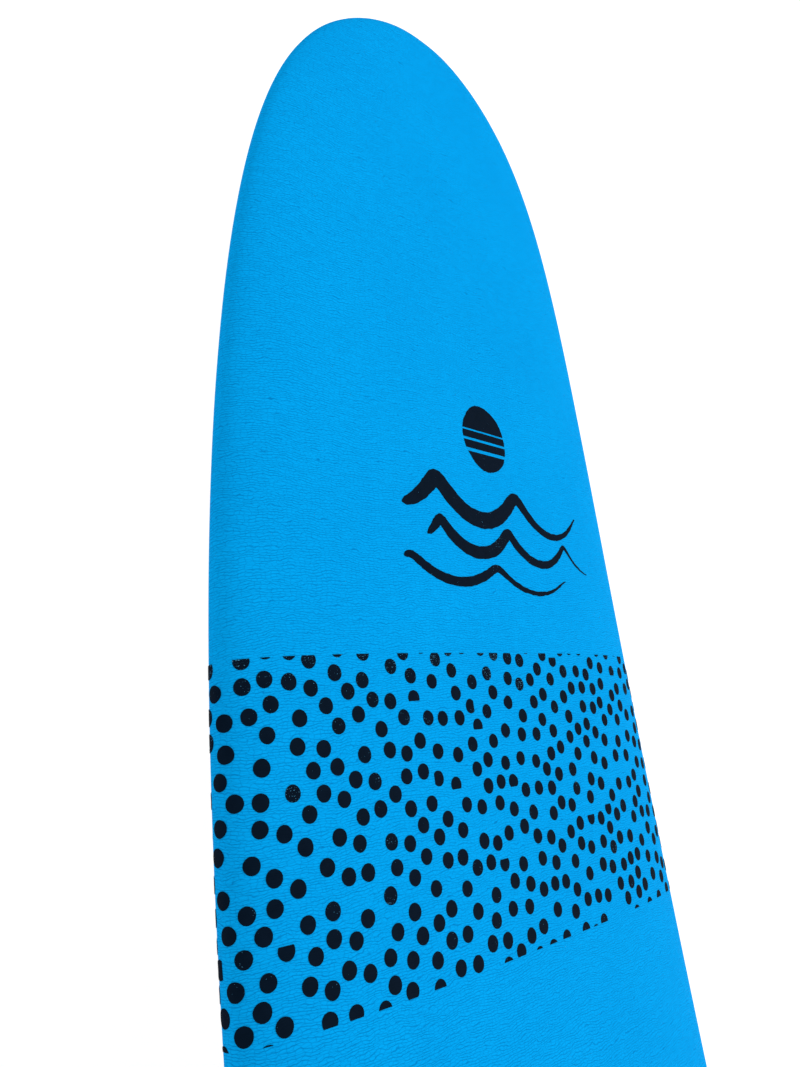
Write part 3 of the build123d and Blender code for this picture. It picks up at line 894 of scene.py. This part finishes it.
def make_dots():
    """Band of equal dots across the deck, cut straight at both edges, and a few at a tile joint."""
    rng = random.Random(20)
    ink = Print()
    edge_x = np.array([BAND_TAIL_X, (BAND_TAIL_X + BAND_NOSE_X) / 2, BAND_NOSE_X])
    angle, girth = girth_table(edge_x)
    reach = min(float(np.interp(e, angle, g)) for e, g in zip(seam_angle(edge_x), girth)) - SEAM_MARGIN
    spots = spaced_points(rng, BAND_TAIL_X - DOT_R, BAND_NOSE_X + DOT_R, reach - DOT_R - 0.5, DOT_SPACING)
    for x, s in spots:
        radius = DOT_R * rng.uniform(0.97, 1.03)
        corners = dot_corners(rng, x, s, radius)
        corners = clip(corners, lambda a, b: BAND_NOSE_X - a)
        corners = clip(corners, lambda a, b: a - BAND_TAIL_X)
        if rng.random() < JOINT_CUT_SHARE:
            cut = rng.uniform(0.35, 0.75) * radius
            way = rng.choice(("left", "right", "nose", "tail"))
            sides = {
                "left": lambda a, b: s + cut - b,
                "right": lambda a, b: b - s + cut,
                "nose": lambda a, b: x + cut - a,
                "tail": lambda a, b: a - x + cut,
            }
            corners = clip(corners, sides[way])
        if len(corners) >= 3 and area_of(corners) > LEAST_DOT_AREA:
            ink.polygon(corners)
    return ink


LEAST_STROKE = 0.15
STROKE_ROUGH = 0.35


def brush(centre, width, seed):
    """Outline of a brush stroke along centre points (x, s), as wide as width(t), with torn edges."""
    rng = random.Random(seed)
    points = np.array(centre, float)
    tangent = np.gradient(points, axis=0)
    tangent /= np.maximum(np.linalg.norm(tangent, axis=1, keepdims=True), 1e-9)
    normal = np.stack([-tangent[:, 1], tangent[:, 0]], -1)
    count = len(points)
    left, right = [], []
    for i in range(count):
        half = width(i / (count - 1)) / 2
        left_half = max(LEAST_STROKE, half + rng.uniform(-STROKE_ROUGH, STROKE_ROUGH))
        right_half = max(LEAST_STROKE, half + rng.uniform(-STROKE_ROUGH, STROKE_ROUGH))
        left.append(tuple(points[i] + normal[i] * left_half))
        right.append(tuple(points[i] - normal[i] * right_half))
    return left + right[::-1]


SUN_X = 938.0
SUN_S = -28.0
SUN_R = 33.0
SUN_SIDES = 150
# Each slit's place ahead of the sun's middle, and its width.
SUN_SLITS = ((6.5, 1.8), (-3.0, 2.6), (-14.0, 3.4))


def add_sun(ink):
    """Round sun with three slits across its lower half."""
    rng = random.Random(8)
    corners = []
    for k in range(SUN_SIDES):
        turn = 2 * math.pi * k / SUN_SIDES
        wave = 1 + 0.018 * math.sin(2 * turn + 0.7) + 0.01 * math.sin(5 * turn)
        rough = SUN_R * wave + rng.uniform(-0.3, 0.3)
        corners.append((SUN_X + rough * math.cos(turn), SUN_S + rough * math.sin(turn)))
    upper = SUN_X + 1.2 * SUN_R
    for ahead, width in SUN_SLITS:
        middle = SUN_X + ahead
        part = clip(corners, lambda a, b, low=middle + width / 2: a - low)
        part = clip(part, lambda a, b, high=upper: high - a)
        if len(part) > 2:
            ink.polygon(part)
        upper = middle - width / 2
    ink.polygon(clip(corners, lambda a, b, high=upper: high - a))


WAVE_POINTS = 90
# How far each crest leans sideways, and how far each stroke falls back.
WAVE_LEAN = 10.0
# Each stroke's x, first s, last s, height, cycles, phase, greatest width and seed.
WAVES = (
    (874.0, 106.0, -176.0, 15.0, 2.35, 0.4, 21.0, 31),
    (838.0, 84.0, -192.0, 12.0, 2.75, 1.3, 15.0, 32),
    (806.0, 114.0, -138.0, 9.0, 2.10, 2.4, 11.0, 33),
)


def stroke_width(t, widest):
    """Width of a wave stroke at share t of its way: thin at both ends and heavier early on."""
    body = 0.10 + 0.90 * math.sin(math.pi * min(1, t ** 0.7)) ** 0.6
    return widest * body * (1 - 0.55 * t)


def add_waves(ink):
    """Three curling strokes below the sun."""
    for base, start, end, height, cycles, phase, widest, seed in WAVES:
        t = np.linspace(0, 1, WAVE_POINTS)
        turn = 2 * math.pi * cycles * t + phase
        s = start + (end - start) * t - WAVE_LEAN * np.sin(turn)
        x = base - height * np.cos(turn) - WAVE_LEAN * t
        ink.polygon(brush(np.stack([x, s], -1), lambda u, w=widest: stroke_width(u, w), seed))


def make_mark():
    """Generic brush mark on the nose half: a sun over three wave strokes."""
    ink = Print()
    add_sun(ink)
    add_waves(ink)
    return ink


# ---------------------------------------------------------------- assembly
SHARP_ANGLE = math.radians(32)
UNDERLAY_GREY = (0.58, 0.59, 0.60, 1.0)
UNDERLAY_PALE = (0.66, 0.67, 0.68, 1.0)
UNDERLAY_CELLS = 900.0
CORE_CREAM = (0.84, 0.84, 0.82, 1.0)
CORE_PALE = (0.90, 0.90, 0.88, 1.0)
CORE_CELLS = 330.0
FITTING_BLACK = (0.014, 0.015, 0.017, 1.0)
FITTING_GREY = (0.022, 0.023, 0.026, 1.0)
FIN_BLACK = (0.016, 0.018, 0.021, 1.0)
FIN_GREY = (0.026, 0.029, 0.033, 1.0)
# Noise scales along X, Y and Z: the pin is drawn along Y, the screws are turned round Z.
PIN_LINES = (900.0, 40.0, 900.0)
SCREW_LINES = (500.0, 500.0, 1800.0)


def dress(node, material):
    """Gives a CAD node its material and smooth shading with sharp edges kept."""
    mesh = node.data
    mesh.materials.clear()
    mesh.materials.append(material)
    mesh.polygons.foreach_set("use_smooth", [True] * len(mesh.polygons))
    mesh.set_sharp_from_angle(angle=SHARP_ANGLE)


foam_skin = make_deck()
cut_seats(foam_skin)
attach(foam_skin, "board")
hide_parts("deck_skin")

slick = make_slick()
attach(slick, "board")
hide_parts("bottom_slick")

ink_look = ink_material()
dots = make_dots().build("print_dots", ink_look)
mark = make_mark().build("print_mark", ink_look)
for piece in (dots, mark):
    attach(piece, "board")

underlay = bead_material("underlay_foam_grey", UNDERLAY_GREY, UNDERLAY_PALE, UNDERLAY_CELLS, 0.3)
core = bead_material("core_bead_foam", CORE_CREAM, CORE_PALE, CORE_CELLS, 0.5)
wood = wood_material()
fitting = moulded_material("fitting_black", FITTING_BLACK, FITTING_GREY, 0.38, 0.50)
fin_look = moulded_material("fin_black", FIN_BLACK, FIN_GREY, 0.30, 0.44)
pin_look = steel_material("pin_steel", PIN_LINES)
screw_look = steel_material("screw_steel", SCREW_LINES)

looks = {
    "bottom_underlay": underlay,
    "core_": core,
    "stringer_": wood,
    "leash_cup": fitting,
    "leash_pin": pin_look,
    "fin_sleeve": fitting,
    "fin_screw": screw_look,
    "fin_centre": fin_look,
    "fin_left": fin_look,
    "fin_right": fin_look,
}
for name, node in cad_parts.items():
    for start, material in looks.items():
        if name.startswith(start):
            dress(node, material)
            break

# ---------------------------------------------------------------- stage, camera and light
WHITE = (1.0, 1.0, 1.0, 1.0)
KEY_WAY = Vector((0.30, 0.72, -0.70))
KEY_ANGLE = math.radians(40.0)
KEY_ENERGY = 1.7
CAMERA_PLACE = Vector((0.62355, 0.67656, 0.66198))
CAMERA_RIGHT = Vector((-0.154198, -0.674099, 0.722366))
CAMERA_FORWARD = Vector((0.267758, -0.732262, -0.626177))
CAMERA_LENS = 31.396
FLOOR_GREY = (0.40, 0.40, 0.40, 1.0)
FLOOR_PALE = (0.42, 0.42, 0.42, 1.0)
FLOOR_GLOW = 0.66
FLOOR_REACH = 14.0
# A little more than the fins' travel of 32 mm, so that released fins stay clear of the floor.
FLOOR_BELOW_FINS = 0.034

floor_mesh = bpy.data.meshes.new("floor")
floor_sides = ((-1, -1), (1, -1), (1, 1), (-1, 1))
floor_corners = [(a * FLOOR_REACH, b * FLOOR_REACH, -FLOOR_BELOW_FINS) for a, b in floor_sides]
floor_mesh.from_pydata(floor_corners, [], [(0, 1, 2, 3)])
floor = bpy.data.objects.new("floor", floor_mesh)
bpy.context.scene.collection.objects.link(floor)
floor_nodes = Nodes("floor_white")
grain = floor_nodes.noise(floor_nodes.place(), 3.0, 2.0)
pale = floor_nodes.mix(grain, FLOOR_GREY, FLOOR_PALE)
floor_nodes.link(pale, floor_nodes.shader.inputs["Base Color"])
floor_nodes.set(Roughness=0.9, Emission_Color=WHITE, Emission_Strength=FLOOR_GLOW)
floor_nodes.specular(0.0)
floor_mesh.materials.append(floor_nodes.material)

scene = bpy.context.scene
scene.view_settings.view_transform = "Standard"
scene.view_settings.look = "None"

camera_data = bpy.data.cameras.new("camera")
camera_data.sensor_width = 36.0
camera_data.lens = CAMERA_LENS
camera_data.clip_start = 0.02
camera = bpy.data.objects.new("camera", camera_data)
scene.collection.objects.link(camera)
right = CAMERA_RIGHT.normalized()
forward = (CAMERA_FORWARD - right * CAMERA_FORWARD.dot(right)).normalized()
up = right.cross(forward)
turn = Matrix((right, up, -forward)).transposed()
camera.matrix_world = Matrix.Translation(CAMERA_PLACE) @ turn.to_4x4()
scene.camera = camera

key_data = bpy.data.lights.new("key", "SUN")
key_data.energy = KEY_ENERGY
key_data.angle = KEY_ANGLE
key = bpy.data.objects.new("key", key_data)
key.rotation_mode = "QUATERNION"
key.rotation_quaternion = KEY_WAY.to_track_quat("-Z", "Y")
scene.collection.objects.link(key)

world = bpy.data.worlds.new("world")
world.use_nodes = True
world.node_tree.nodes["Background"].inputs[0].default_value = WHITE
world.node_tree.nodes["Background"].inputs[1].default_value = 1.0
scene.world = world
